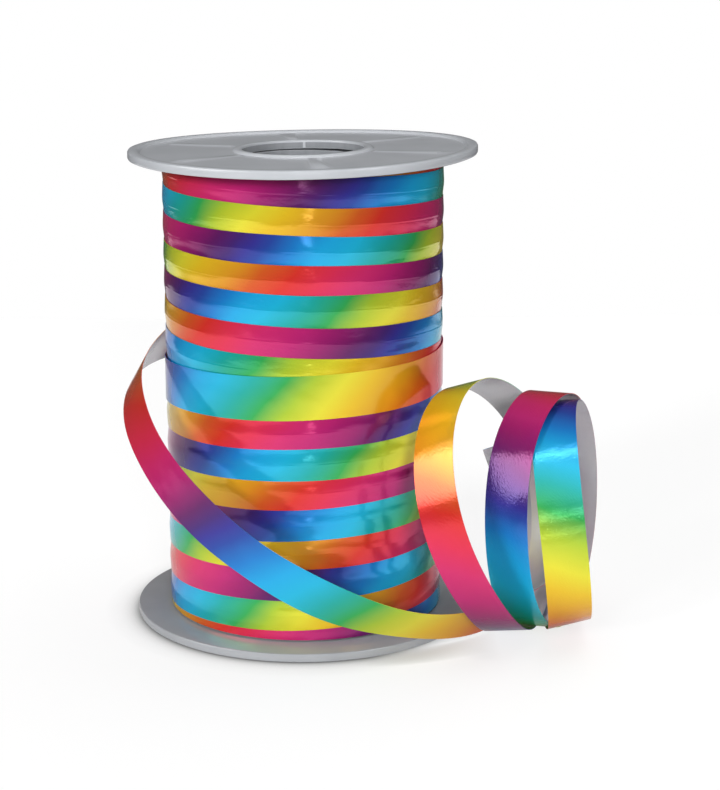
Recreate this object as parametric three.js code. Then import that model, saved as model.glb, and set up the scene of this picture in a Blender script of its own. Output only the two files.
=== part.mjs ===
// A plastic spool wound with glossy curling ribbon, its loose end lying beside it in three curls.
// Millimetres, +Z up. The spool stands on its lower flange; the origin is the middle of the
// part's footprint, on the surface it stands on.
import * as THREE from "three";

// Driving dimensions
const SPOOL_HEIGHT = 110;
const FLANGE_RADIUS = 40;
const FLANGE_THICKNESS = 2;
const FLANGE_HOLE_RADIUS = 14;
const RIDGE_COUNT = 8;
const RIDGE_HEIGHT = 0.3;
const CORE_OUTER_RADIUS = 17;
const CORE_INNER_RADIUS = 12.8;
const WINDING_RADIUS = 32.35;
const WINDING_BORE_RADIUS = 17.3;
const TURN_STEP = 0.3;
const TURN_TILT = 1.1;
const RIBBON_WIDTH = 10;
const RIBBON_THICKNESS = 1;
const FIT_GAP = 0.3;
const ROUND_SEGMENTS = 48;
const TAIL_STEPS = 5;
const CURL_STEPS = 5;
const CURL_STEP = 45;
const CURL_END = 1102;

// The last turn lies over the others: below it each turn covers the one under it and shows its
// lower edge, above it each turn covers the one over it and shows its upper edge.
const LOWER_TURN_EDGES = [4.9, 11.8, 19.0, 25.7, 33.1, 39.8, 47.0, 53.6];
const LAST_TURN_TOP = 63.3;
const UPPER_TURN_EDGES = [67.5, 74.4, 81.5, 87.9, 94.4, 100.7];

// The loose end's middle line from where it leaves the winding down to the floor. Azimuth and lift
// give the direction across the ribbon, towards its left edge as one travels, coloured side up.
const TAIL = [
  // x, y, z, azimuth, lift
  [-22.3, 24.8, 63.5, -60, 88],
  [-27.1, 20.7, 62.9, -43, 81],
  [-38.1, 1.3, 59.3, -44, 54],
  [-39.5, -8.2, 56.1, -31, 58],
  [-35.8, -24.8, 47.3, -42, 49],
  [-17.4, -43.0, 29.8, -30, 34],
  [-1.8, -45.5, 19.5, -38, 61],
  [18.6, -39.7, 9.3, -41, 46],
  [46.7, -21.9, 5.6, -56, 49],
  [50.6, -18.0, 6.9, -50, 39],
];

// The curls: the circle that the ribbon follows at each quarter turn. Turn 90 is a curl's highest
// point, 180 its front, 270 its lowest point and 360 its back.
const CURLS = [
  // turn, centre x, y, z, radius front to back, radius up, azimuth, lift
  [-45, 42.4, -21.2, 29.7, 24.0, 25.4, -30, 21],
  [90, 45.1, -22.1, 30.2, 26.0, 29.6, -39, 20],
  [180, 44.5, -20.2, 30.6, 29.6, 29.6, -28, 11],
  [270, 46.5, -17.5, 30.2, 29.1, 29.2, -12, 6],
  [360, 51.0, -16.3, 29.2, 28.0, 29.1, -24, 9],
  [450, 54.4, -17.0, 28.2, 26.0, 26.7, -37, 2],
  [540, 54.9, -18.1, 27.0, 23.4, 24.4, -27, -2],
  [630, 53.6, -18.1, 25.4, 20.6, 24.5, -23, 4],
  [720, 56.9, -17.8, 24.9, 22.6, 28.1, -22, 2],
  [810, 59.3, -16.5, 25.3, 25.2, 28.3, -11, 4],
  [900, 56.8, -16.5, 25.9, 26.0, 27.7, 0, 7],
  [990, 53.4, -14.3, 27.1, 26.7, 26.1, 3, 15],
  [1100, 51.0, -10.2, 26.5, 25.7, 26.1, -1, 19],
];

const silver = new THREE.Color(0.55, 0.57, 0.6);
const spoolPlastic = new THREE.MeshStandardMaterial({ color: silver, roughness: 0.45, metalness: 0 });
const ribbonFilm = new THREE.MeshStandardMaterial({ color: 0x2aa6c8, roughness: 0.25, metalness: 0.4 });

// Turns a profile of [radius, height] rows about Z. Angle 0 faces -Y, a quarter turn faces +X.
function turned(profile, segments) {
  const points = profile.map(([radius, height]) => new THREE.Vector2(radius, height));
  points.push(points[0].clone());
  const geometry = new THREE.LatheGeometry(points, segments);
  geometry.rotateX(Math.PI / 2);
  return geometry;
}

// Moves each vertex up or down by lift(angle, radius, height).
function raised(geometry, lift) {
  const position = geometry.getAttribute("position");
  for (let i = 0; i < position.count; i += 1) {
    const x = position.getX(i);
    const y = position.getY(i);
    const z = position.getZ(i);
    position.setZ(i, z + lift(Math.atan2(x, -y), Math.hypot(x, y), z));
  }
  geometry.computeVertexNormals();
  return geometry;
}

// Flange, heights counted from its inner face: flat inside, a raised rim and hub collar outside,
// and low ridges like spokes between them.
const RIDGE_INNER = 18.6;
const RIDGE_OUTER = 30;
const WEB = 1.5;
const flangeProfile = [
  [FLANGE_HOLE_RADIUS, 0],
  [FLANGE_RADIUS - 0.6, 0],
  [FLANGE_RADIUS, 0.7],
  [FLANGE_RADIUS, 1.4],
  [FLANGE_RADIUS - 0.8, FLANGE_THICKNESS],
  [FLANGE_RADIUS - 2.6, FLANGE_THICKNESS],
  [FLANGE_RADIUS - 3.4, WEB],
  [31, WEB],
  [RIDGE_OUTER, WEB],
  [RIDGE_INNER, WEB],
  [17.5, WEB],
  [16, FLANGE_THICKNESS],
  [14.6, FLANGE_THICKNESS],
  [FLANGE_HOLE_RADIUS, 1.5],
];

function flange(name) {
  const isRidge = (angle, radius, height) =>
    height === WEB &&
    (Math.abs(radius - RIDGE_OUTER) < 0.01 || Math.abs(radius - RIDGE_INNER) < 0.01) &&
    Math.abs(Math.sin((angle * RIDGE_COUNT) / 2)) < 0.01;
  const geometry = raised(turned(flangeProfile, ROUND_SEGMENTS), (angle, radius, height) =>
    isRidge(angle, radius, height) ? RIDGE_HEIGHT : 0,
  );
  const mesh = new THREE.Mesh(geometry, spoolPlastic.clone());
  mesh.name = name;
  return mesh;
}

const topFlange = flange("spool_flange_top");
topFlange.position.z = SPOOL_HEIGHT - FLANGE_THICKNESS;

const bottomFlange = flange("spool_flange_bottom");
bottomFlange.rotation.x = Math.PI;
bottomFlange.position.z = FLANGE_THICKNESS;

// Core tube between the two flanges
const innerFloor = FLANGE_THICKNESS + FIT_GAP;
const innerCeiling = SPOOL_HEIGHT - FLANGE_THICKNESS - FIT_GAP;
const core = new THREE.Mesh(
  turned(
    [
      [CORE_INNER_RADIUS, innerFloor],
      [CORE_OUTER_RADIUS, innerFloor],
      [CORE_OUTER_RADIUS, innerCeiling],
      [CORE_INNER_RADIUS, innerCeiling],
    ],
    ROUND_SEGMENTS,
  ),
  spoolPlastic.clone(),
);
core.name = "spool_core";

// Wound ribbon: one body with the step that each turn's visible edge makes
const low = WINDING_RADIUS - TURN_STEP;
const windingProfile = [
  [WINDING_BORE_RADIUS, innerFloor],
  [low, innerFloor],
];
for (const edge of LOWER_TURN_EDGES) {
  windingProfile.push([low, edge - 0.1], [WINDING_RADIUS, edge + 0.1]);
}
windingProfile.push([low + 0.1, LAST_TURN_TOP - 0.1], [low - 0.1, LAST_TURN_TOP + 0.1]);
for (const edge of UPPER_TURN_EDGES) {
  windingProfile.push([WINDING_RADIUS, edge - 0.1], [low, edge + 0.1]);
}
windingProfile.push([low + 0.2, innerCeiling], [WINDING_BORE_RADIUS, innerCeiling]);

const windingMiddle = (LAST_TURN_TOP + UPPER_TURN_EDGES[0]) / 2;
const winding = new THREE.Mesh(
  raised(turned(windingProfile, ROUND_SEGMENTS), (angle, radius, height) => {
    if (radius < low - 1 || height < innerFloor + 0.1 || height > innerCeiling - 0.1) {
      return 0;
    }
    return (height < windingMiddle ? TURN_TILT : -TURN_TILT) * Math.sin(angle);
  }),
  ribbonFilm.clone(),
);
winding.name = "ribbon_winding";

// Natural cubic spline through rows of numbers; at gives each row's place along it.
function splineThrough(at, rows) {
  const bends = rows[0].map((_, column) => {
    const upper = [0];
    const bend = [0];
    for (let i = 1; i < rows.length - 1; i += 1) {
      const before = at[i] - at[i - 1];
      const after = at[i + 1] - at[i];
      const rise = (rows[i + 1][column] - rows[i][column]) / after;
      const fall = (rows[i][column] - rows[i - 1][column]) / before;
      const pivot = 2 * (before + after) - before * upper[i - 1];
      upper.push(after / pivot);
      bend.push((6 * (rise - fall) - before * bend[i - 1]) / pivot);
    }
    bend.push(0);
    for (let i = rows.length - 2; i > 0; i -= 1) {
      bend[i] -= upper[i] * bend[i + 1];
    }
    return bend;
  });
  return (place) => {
    let i = 0;
    while (i < rows.length - 2 && place > at[i + 1]) {
      i += 1;
    }
    const span = at[i + 1] - at[i];
    const t = (place - at[i]) / span;
    const s = 1 - t;
    return rows[i].map((value, column) => {
      const curve = ((s ** 3 - s) * bends[column][i] + (t ** 3 - t) * bends[column][i + 1]) / 6;
      return s * value + t * rows[i + 1][column] + curve * span * span;
    });
  };
}

// Stations round the curls: a point every eighth of a turn on the circle that the table gives there.
function curlStations() {
  const circleAt = splineThrough(CURLS.map((row) => row[0]), CURLS.map((row) => row.slice(1)));
  const turns = [];
  for (let turn = CURLS[0][0]; turn < CURL_END; turn += CURL_STEP) {
    turns.push(turn);
  }
  turns.push(CURL_END);
  return turns.map((turn) => {
    const [x, y, z, depth, height, azimuth, lift] = circleAt(turn);
    const a = THREE.MathUtils.degToRad(azimuth);
    const l = THREE.MathUtils.degToRad(lift);
    const t = THREE.MathUtils.degToRad(turn);
    const back = new THREE.Vector3(-Math.sin(a), Math.cos(a), 0);
    const up = new THREE.Vector3(-Math.sin(l) * Math.cos(a), -Math.sin(l) * Math.sin(a), Math.cos(l));
    const point = new THREE.Vector3(x, y, z)
      .addScaledVector(back, depth * Math.cos(t))
      .addScaledVector(up, height * Math.sin(t));
    return [point.x, point.y, point.z, azimuth, lift];
  });
}

// Loose end: a flat strip swept along the stations
function looseRibbon() {
  const stations = [...TAIL, ...curlStations()];
  const at = [0];
  for (let i = 1; i < stations.length; i += 1) {
    const [a, b] = [stations[i - 1], stations[i]];
    at.push(at[i - 1] + Math.hypot(b[0] - a[0], b[1] - a[1], b[2] - a[2]));
  }
  const rowAt = splineThrough(at, stations);
  const places = [0];
  for (let i = 1; i < at.length; i += 1) {
    const steps = i < TAIL.length ? TAIL_STEPS : CURL_STEPS;
    for (let k = 1; k <= steps; k += 1) {
      places.push(at[i - 1] + ((at[i] - at[i - 1]) * k) / steps);
    }
  }
  const count = places.length - 1;
  const end = places[count];
  const positions = [];
  const nudge = 0.01;
  for (const place of places) {
    const row = rowAt(place);
    const ahead = rowAt(Math.min(place + nudge, end));
    const behind = rowAt(Math.max(place - nudge, 0));
    const middle = new THREE.Vector3(row[0], row[1], row[2]);
    const along = new THREE.Vector3(ahead[0] - behind[0], ahead[1] - behind[1], ahead[2] - behind[2]);
    along.normalize();
    const azimuth = THREE.MathUtils.degToRad(row[3]);
    const lift = THREE.MathUtils.degToRad(row[4]);
    const across = new THREE.Vector3(
      Math.cos(lift) * Math.cos(azimuth),
      Math.cos(lift) * Math.sin(azimuth),
      Math.sin(lift),
    );
    across.addScaledVector(along, -across.dot(along)).normalize();
    const outward = new THREE.Vector3().crossVectors(along, across);
    for (const [side, face] of [[1, 1], [-1, 1], [-1, -1], [1, -1]]) {
      const corner = middle
        .clone()
        .addScaledVector(across, (side * RIBBON_WIDTH) / 2)
        .addScaledVector(outward, (face * RIBBON_THICKNESS) / 2);
      positions.push(corner.x, corner.y, corner.z);
    }
  }
  const index = [0, 2, 1, 0, 3, 2];
  for (let k = 0; k < count; k += 1) {
    for (let c = 0; c < 4; c += 1) {
      const a = 4 * k + c;
      const b = 4 * k + ((c + 1) % 4);
      index.push(a, b, a + 4, b, b + 4, a + 4);
    }
  }
  const last = 4 * count;
  index.push(last, last + 1, last + 2, last, last + 2, last + 3);
  const geometry = new THREE.BufferGeometry();
  geometry.setAttribute("position", new THREE.Float32BufferAttribute(positions, 3));
  geometry.setIndex(index);
  geometry.computeVertexNormals();
  return geometry;
}

const loose = new THREE.Mesh(looseRibbon(), ribbonFilm.clone());
loose.name = "ribbon_loose";

// Everything is built about the spool's axis, then moved so that the footprint's middle is the origin.
const spoolAxisGroup = new THREE.Group();
spoolAxisGroup.add(topFlange, bottomFlange, core, winding, loose);
const footprint = new THREE.Box3().setFromObject(spoolAxisGroup, true);
const middle = footprint.getCenter(new THREE.Vector3());
spoolAxisGroup.position.set(-middle.x, -middle.y, 0);

const ribbonOnSpool = new THREE.Group();
ribbonOnSpool.add(spoolAxisGroup);
export default ribbonOnSpool;
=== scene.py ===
# %% [markdown]
# # Rainbow curling ribbon on a plastic spool
# A grey moulded spool stands on its lower flange. Glossy metallised ribbon, printed with a
# rainbow that repeats along its length, is wound round it in sloping turns. The end has come
# off at the back left: it sweeps round the front down to the table and lies there in three curls.
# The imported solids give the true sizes, so the script loads them first and measures from them.

import math

import bmesh
import bpy
import numpy as np
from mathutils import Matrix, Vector


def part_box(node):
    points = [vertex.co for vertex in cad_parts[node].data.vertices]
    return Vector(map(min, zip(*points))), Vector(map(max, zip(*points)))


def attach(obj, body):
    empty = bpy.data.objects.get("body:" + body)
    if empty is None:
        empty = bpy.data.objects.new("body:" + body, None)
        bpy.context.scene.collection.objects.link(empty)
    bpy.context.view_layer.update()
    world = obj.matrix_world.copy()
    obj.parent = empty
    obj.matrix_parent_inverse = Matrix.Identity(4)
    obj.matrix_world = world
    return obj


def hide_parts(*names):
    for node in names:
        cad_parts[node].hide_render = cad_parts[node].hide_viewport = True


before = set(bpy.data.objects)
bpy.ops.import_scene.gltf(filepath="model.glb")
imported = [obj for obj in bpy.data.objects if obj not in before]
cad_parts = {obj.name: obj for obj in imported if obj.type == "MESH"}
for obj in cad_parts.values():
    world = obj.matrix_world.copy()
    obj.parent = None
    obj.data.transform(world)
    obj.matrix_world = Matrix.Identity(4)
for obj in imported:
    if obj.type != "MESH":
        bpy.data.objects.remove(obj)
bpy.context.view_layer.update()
MM = 0.001

# %% [markdown]
# ## The spool's axis
# Nearly everything here is round about one upright line. The loose end makes the object's box
# wider on the right, so the axis isn't in the middle of that box. It is measured on the solid
# of the lower flange instead, and every table below counts in millimetres from it.

# %% Spool's axis
flange_low, flange_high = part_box("spool_flange_bottom")
AXIS_X = (flange_low.x + flange_high.x) / 2
AXIS_Y = (flange_low.y + flange_high.y) / 2
print("spool axis at", round(AXIS_X, 5), round(AXIS_Y, 5))

# %% [markdown]
# ## Camera
# The picture is taken from just above the spool's top, looking down a little. The camera stands
# 463 mm in front of the spool's axis and 164 mm up. The lens is long, so the two flanges come
# out nearly equally wide. The camera comes first, so that every later step can be rendered.

# %% Camera
CAMERA_DISTANCE = 463 * MM
CAMERA_HEIGHT = 164.1 * MM
CAMERA_YAW = 0.0282
CAMERA_PITCH = 0.2385
LENS_LENGTH = 92.14
SENSOR_WIDTH = 36

lens = bpy.data.cameras.new("studio_camera")
lens.lens = LENS_LENGTH
lens.sensor_width = SENSOR_WIDTH
camera = bpy.data.objects.new("studio_camera", lens)
camera.location = (AXIS_X, AXIS_Y - CAMERA_DISTANCE, CAMERA_HEIGHT)
camera.rotation_euler = (math.pi / 2 - CAMERA_PITCH, 0, -CAMERA_YAW)
bpy.context.scene.collection.objects.link(camera)
bpy.context.scene.camera = camera
print("camera stands at", [round(v, 3) for v in camera.location])

# %% [markdown]
# ## The ribbon's way
# A ribbon bends easily along its length and hardly at all across it. So it is enough to know
# its middle line and, at each point, the direction across it. That direction is kept as two
# angles in degrees, azimuth round the upright and lift above the level. Two short tables hold
# all this: one for the tail that sweeps down, and one for the curls, where the strip follows a
# circle whose middle, size and tilt change slowly from turn to turn.

# %% Tables of the loose end
RIBBON_WIDTH = 10
# x, y, z, azimuth, lift
TAIL = [
    (-22.3, 24.8, 63.5, -60, 88),
    (-27.1, 20.7, 62.9, -43, 81),
    (-38.1, 1.3, 59.3, -44, 54),
    (-39.5, -8.2, 56.1, -31, 58),
    (-35.8, -24.8, 47.3, -42, 49),
    (-17.4, -43.0, 29.8, -30, 34),
    (-1.8, -45.5, 19.5, -38, 61),
    (18.6, -39.7, 9.3, -41, 46),
    (46.7, -21.9, 5.6, -56, 49),
    (50.6, -18.0, 6.9, -50, 39),
]
# turn, centre x, y, z, radius front to back, radius up, azimuth, lift
CURLS = [
    (-45, 42.4, -21.2, 29.7, 24.0, 25.4, -30, 21),
    (90, 45.1, -22.1, 30.2, 26.0, 29.6, -39, 20),
    (180, 44.5, -20.2, 30.6, 29.6, 29.6, -28, 11),
    (270, 46.5, -17.5, 30.2, 29.1, 29.2, -12, 6),
    (360, 51.0, -16.3, 29.2, 28.0, 29.1, -24, 9),
    (450, 54.4, -17.0, 28.2, 26.0, 26.7, -37, 2),
    (540, 54.9, -18.1, 27.0, 23.4, 24.4, -27, -2),
    (630, 53.6, -18.1, 25.4, 20.6, 24.5, -23, 4),
    (720, 56.9, -17.8, 24.9, 22.6, 28.1, -22, 2),
    (810, 59.3, -16.5, 25.3, 25.2, 28.3, -11, 4),
    (900, 56.8, -16.5, 25.9, 26.0, 27.7, 0, 7),
    (990, 53.4, -14.3, 27.1, 26.7, 26.1, 3, 15),
    (1100, 51.0, -10.2, 26.5, 25.7, 26.1, -1, 19),
]
CURL_STEP = 45
CURL_END = 1102
print("the curls make", round((CURL_END - CURLS[0][0]) / 360, 2), "turns")

# %% [markdown]
# ## A smooth line through a few points
# A glossy strip shows every kink, so the points can't be joined by straight lines. A natural
# cubic spline has no jump in its bending either, which is how a springy strip behaves. The same
# helper later runs through the tables of the print and of the turns.


# %% Spline
def spline_through(at, rows):
    """A natural cubic spline, as a function that gives the row at any place along it."""
    at = np.asarray(at, float)
    rows = np.asarray(rows, float)
    count = len(at)
    gap = np.diff(at)
    slope = np.diff(rows, axis=0) / gap[:, None]
    system = np.eye(count)
    bending = np.zeros_like(rows)
    for i in range(1, count - 1):
        system[i, i - 1 : i + 2] = (gap[i - 1], 2 * (gap[i - 1] + gap[i]), gap[i])
        bending[i] = 6 * (slope[i] - slope[i - 1])
    second = np.linalg.solve(system, bending)

    def row_at(place):
        place = np.atleast_1d(place)
        i = np.clip(np.searchsorted(at, place, side="right") - 1, 0, count - 2)
        t = ((place - at[i]) / gap[i])[:, None]
        s = 1 - t
        bend = ((s**3 - s) * second[i] + (t**3 - t) * second[i + 1]) / 6
        return s * rows[i] + t * rows[i + 1] + bend * (gap[i] ** 2)[:, None]

    return row_at


# %% [markdown]
# ## Stations of the curls
# A curl of ribbon is a turn of a spring. Its points are taken every eighth of a turn, on the
# circle that the table gives there, and are put after the points of the tail. The two tables
# then make one line, so the tail runs into the first curl with no seam.


# %% Stations
def curl_stations():
    """A point every eighth of a turn, with the direction across the strip there."""
    table = np.array(CURLS, float)
    circle_at = spline_through(table[:, 0], table[:, 1:])
    turns = np.append(np.arange(CURLS[0][0], CURL_END, CURL_STEP), CURL_END)
    x, y, z, depth, height, azimuth, lift = circle_at(turns).T
    a, l, t = np.radians(azimuth), np.radians(lift), np.radians(turns)
    back = np.stack([-np.sin(a), np.cos(a), 0 * a], 1)
    up = np.stack([-np.sin(l) * np.cos(a), -np.sin(l) * np.sin(a), np.cos(l)], 1)
    middle = np.stack([x, y, z], 1) + back * (depth * np.cos(t))[:, None]
    middle += up * (height * np.sin(t))[:, None]
    return np.column_stack([middle, azimuth, lift])


stations = np.vstack([TAIL, curl_stations()])
print("stations along the loose end:", len(stations))

# %% [markdown]
# ## From stations to a strip
# The strip is sampled every millimetre and a half. At each sample the direction across is made
# square to the direction along, and the two give the direction that the printed side faces.

# %% Strip frames
SAMPLE_SPACING = 1.5
LOOK_AHEAD = 0.01


def unit(rows):
    return rows / np.linalg.norm(rows, axis=1)[:, None]


def strip_frames(stations, spacing):
    """Middle line, direction across, direction of the printed side and length so far."""
    chord = np.linalg.norm(np.diff(stations[:, :3], axis=0), axis=1)
    at = np.concatenate([[0], np.cumsum(chord)])
    row_at = spline_through(at, stations)
    places = np.linspace(0, at[-1], int(at[-1] / spacing) + 1)
    rows = row_at(places)
    ahead = row_at(np.minimum(places + LOOK_AHEAD, at[-1]))[:, :3]
    behind = row_at(np.maximum(places - LOOK_AHEAD, 0))[:, :3]
    along = unit(ahead - behind)
    azimuth, lift = np.radians(rows[:, 3]), np.radians(rows[:, 4])
    level = np.cos(lift)
    across = np.stack([level * np.cos(azimuth), level * np.sin(azimuth), np.sin(lift)], 1)
    across = unit(across - (across * along).sum(1)[:, None] * along)
    out = np.cross(along, across)
    middle = rows[:, :3]
    steps = np.linalg.norm(np.diff(middle, axis=0), axis=1)
    return middle, across, out, np.concatenate([[0], np.cumsum(steps)])


middle, across, out, length = strip_frames(stations, SAMPLE_SPACING)

# %% [markdown]
# ## Faces of a strip of film
# Real film is a tenth of a millimetre thick or less. A single sheet of faces would look the
# same from both sides, but this film is printed in front and silver behind, so it is built as
# a thin closed body: printed face, silver back and cut edges. The helper numbers the corners
# of its faces for a grid of points, one row for each place along the strip.

# %% Film faces
FILM_THICKNESS = 0.1
PRINTED, SILVER, CUT = 0, 1, 2


def film_faces(rows, columns):
    """The faces' corners and the finish of each. The points of the back follow the front's."""
    front = np.arange(rows * columns).reshape(rows, columns)
    back = front + rows * columns
    sides = (
        (front[:-1, :-1], front[1:, :-1], front[1:, 1:], front[:-1, 1:], PRINTED),
        (back[:-1, :-1], back[:-1, 1:], back[1:, 1:], back[1:, :-1], SILVER),
        (front[:-1, 0], back[:-1, 0], back[1:, 0], front[1:, 0], CUT),
        (front[:-1, -1], front[1:, -1], back[1:, -1], back[:-1, -1], CUT),
        (front[0, :-1], front[0, 1:], back[0, 1:], back[0, :-1], CUT),
        (front[-1, :-1], back[-1, :-1], back[-1, 1:], front[-1, 1:], CUT),
    )
    faces, finish = [], []
    for a, b, c, d, kind in sides:
        faces.extend(np.stack([a, b, c, d], -1).reshape(-1, 4).tolist())
        finish.extend([kind] * a.size)
    return faces, finish


print("a strip of 3 by 3 points has", len(film_faces(3, 3)[0]), "faces")

# %% [markdown]
# ## Places on the film
# The print has to follow the film wherever it bends, so each corner keeps its place on the
# film as a UV: u counts repeats of the rainbow along the strip, v goes from its lower edge to
# its upper one. Two more values are kept at each point for the finish. Ridge is 1 on the upper
# turns, -1 on the lower ones and 0 where the film lies free. Drawn says how hard the strip was
# drawn over a blade, which is what curls such a ribbon and scratches it.


# %% Places on the film
def keep_places(mesh, phase, across, ridge, drawn):
    """Keeps the place at each corner, and Ridge and Drawn at each point."""
    rows, columns = across.shape
    place = np.zeros((2, rows, columns, 2))
    place[..., 0] = phase
    place[..., 1] = across
    corner = np.zeros(len(mesh.loops), np.int32)
    mesh.loops.foreach_get("vertex_index", corner)
    layer = mesh.uv_layers.new(name="Film")
    layer.data.foreach_set("uv", place.reshape(-1, 2)[corner].ravel())
    for label, values in (("Ridge", ridge), ("Drawn", drawn)):
        kept = mesh.attributes.new(label, "FLOAT", "POINT")
        kept.data.foreach_set("value", np.tile(np.repeat(values, columns), 2))


# %% [markdown]
# ## The body of a strip
# The wound turns and the loose end are all made by this one helper. The edges between two
# finishes are marked sharp, or the shading would round the film off at its rim. The volume
# tells which way the faces point, and they are turned over where it comes out negative.


# %% Film body
def film_body(name, face, out, phase, across, ridge, drawn):
    """Builds the strip. face is rows x columns x 3, in millimetres from the spool's axis."""
    back = face - out * FILM_THICKNESS
    points = np.concatenate([face.reshape(-1, 3), back.reshape(-1, 3)]) * MM
    points += (AXIS_X, AXIS_Y, 0)
    faces, finish = film_faces(*across.shape)
    mesh = bpy.data.meshes.new(name)
    mesh.from_pydata(points.tolist(), [], faces)
    mesh.polygons.foreach_set("material_index", finish)
    keep_places(mesh, phase, across, ridge, drawn)
    body = bmesh.new()
    body.from_mesh(mesh)
    if body.calc_volume(signed=True) < 0:
        bmesh.ops.reverse_faces(body, faces=body.faces)
    for side in body.faces:
        side.smooth = True
    for line in body.edges:
        line.smooth = line.link_faces[0].material_index == line.link_faces[1].material_index
    body.to_mesh(mesh)
    body.free()
    piece = bpy.data.objects.new(name, mesh)
    bpy.context.scene.collection.objects.link(piece)
    print(name, "has", len(mesh.polygons), "faces")
    return piece


# %% [markdown]
# ## The wound ribbon
# The winder lays each turn a little beside the last, so the turns slope and overlap like
# shingles. In the upper half the ribbon came down, and each turn covers the foot of the one
# above it. In the lower half it climbed back, and each turn covers the head of the one below.
# The two tables say where each turn's visible edge is at the front, and how many repeats of
# the rainbow have gone by there. Both run on smoothly round the spool.

# %% Tables of the wound turns
# turn, height of the visible edge, repeats of the rainbow so far
UPPER_TURNS = [
    (0, 114.0, -1.26),
    (1, 107.3, 0.32),
    (2, 100.7, 1.90),
    (3, 94.4, 3.49),
    (4, 87.9, 5.06),
    (5, 81.5, 6.63),
    (6, 74.4, 8.23),
    (7, 67.5, 9.78),
    (8, 60.9, 11.36),
]
LOWER_TURNS = [
    (-1, -9.0, -0.40),
    (0, -2.0, 1.19),
    (1, 4.9, 2.78),
    (2, 11.8, 4.35),
    (3, 19.0, 5.91),
    (4, 25.7, 7.46),
    (5, 33.1, 9.02),
    (6, 39.8, 10.59),
    (7, 47.0, 12.16),
    (8, 53.6, 13.74),
    (9, 61.0, 15.33),
]
print("turns in the tables:", len(UPPER_TURNS), "and", len(LOWER_TURNS))

# %% [markdown]
# ## Section of a turn
# Where a turn rides over the edge of its neighbour it is pushed out into a low ridge, about a
# third of its width from the visible edge. From there it falls back a little. The ridge gives
# each turn its two tones, because its two slopes mirror different parts of the room. It is only
# a third of a millimetre high, but on film this glossy it has to be real shape.

# %% Section of a turn
WINDING_RADIUS = 32.35
# place across from the covered edge, distance below the ridge
TURN_SECTION = [
    (0.00, 0.34),
    (0.30, 0.30),
    (0.45, 0.20),
    (0.58, 0.04),
    (0.66, 0.00),
    (0.80, 0.05),
    (1.00, 0.15),
]
section = np.array(TURN_SECTION)
below_ridge_at = spline_through(section[:, 0], section[:, 1:])
print("the ridge stands out by", section[:, 1].max(), "mm")

# %% [markdown]
# ## A wound strip
# No winder is perfect, so each edge wanders by about a tenth of a millimetre, as the sum of two
# waves. A strip that would reach past a flange is cut short there. The helper gives the turn,
# radius and height of each point, the print along the strip and the place across it.

# %% Wound strip
ROWS_PER_TURN = 144
FILM_COLUMNS = 15
WINDING_FLOOR = 2.4
WINDING_CEILING = 107.6
EDGE_WANDER = 0.1
# share, radians in a turn, start
WAVES = [(1.0, 11.3, 0.0), (0.6, 29.7, 1.0)]


def eased(value, start, stop):
    """0 before start, 1 after stop, smooth between."""
    x = np.clip((value - start) / (stop - start), 0, 1)
    return x * x * (3 - 2 * x)


def wound_strip(turns, start, stop, foot_shows):
    """Turn, radius, height, print and place across of a strip from turn start to turn stop."""
    table = np.array(turns, float)
    turn_at = spline_through(table[:, 0], table[:, 1:])
    t = np.linspace(start, stop, int((stop - start) * ROWS_PER_TURN) + 1)
    edge, phase = turn_at(t).T
    edge = edge + EDGE_WANDER * sum(share * np.sin(pace * t + begin) for share, pace, begin in WAVES)
    foot = edge if foot_shows else edge - RIBBON_WIDTH
    low = np.maximum(foot, WINDING_FLOOR)
    high = np.minimum(foot + RIBBON_WIDTH, WINDING_CEILING)
    height = low[:, None] + (high - low)[:, None] * np.linspace(0, 1, FILM_COLUMNS)
    place = (height - foot[:, None]) / RIBBON_WIDTH
    from_covered = 1 - place if foot_shows else place
    radius = WINDING_RADIUS - below_ridge_at(from_covered.ravel()).reshape(from_covered.shape)
    return t, radius, height, phase[:, None], place


# %% Round the axis
def about_axis(t, radius, height):
    """Points on the winding; whole turns are at the front."""
    angle = 2 * math.pi * t[:, None]
    return np.stack([radius * np.sin(angle), -radius * np.cos(angle), height], 2)


def away_from_axis(t):
    """The direction out of the winding at each point."""
    angle = 2 * math.pi * np.repeat(t[:, None], FILM_COLUMNS, axis=1)
    return np.stack([np.sin(angle), -np.cos(angle), 0 * angle], 2)


# %% [markdown]
# ## Upper turns
# The ribbon was wound downwards here, so the head of each turn shows and its foot lies under
# the next one. Near its end the strip sinks in by a fifth of a millimetre, where the last turn
# of all is about to cover it.

# %% Upper turns
UPPER_END = 8.0
SINKS_FROM, SINKS_TO = 7.1, 7.4
SINKS_BY = 0.2
WOUND_DRAWN = 0.25

t, radius, height, phase, place = wound_strip(UPPER_TURNS, 0.0, UPPER_END, False)
radius = radius - SINKS_BY * eased(t, SINKS_FROM, SINKS_TO)[:, None]
is_wound = np.ones(len(t))
turns_upper = film_body(
    "turns_upper",
    about_axis(t, radius, height),
    away_from_axis(t),
    phase,
    place,
    is_wound,
    is_wound * WOUND_DRAWN,
)

# %% [markdown]
# ## Faces of the loose end
# The loose end is laid out before the lower turns, because they run on into it. Each sample of
# the middle line becomes a row of points across the strip, raised by half the film's thickness.

# %% Loose end
half_width = np.linspace(-RIBBON_WIDTH / 2, RIBBON_WIDTH / 2, FILM_COLUMNS)
loose_face = middle[:, None, :] + half_width[None, :, None] * across[:, None, :]
loose_face = loose_face + out[:, None, :] * FILM_THICKNESS / 2
loose_out = np.repeat(out[:, None, :], FILM_COLUMNS, axis=1)
TURNS_BEFORE_LEAVING = 8
leaving_turn = math.atan2(TAIL[0][0], -TAIL[0][1]) / (2 * math.pi) % 1
LEAVES_AT = TURNS_BEFORE_LEAVING + leaving_turn
print("the ribbon leaves the winding at turn", round(LEAVES_AT, 3))

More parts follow.
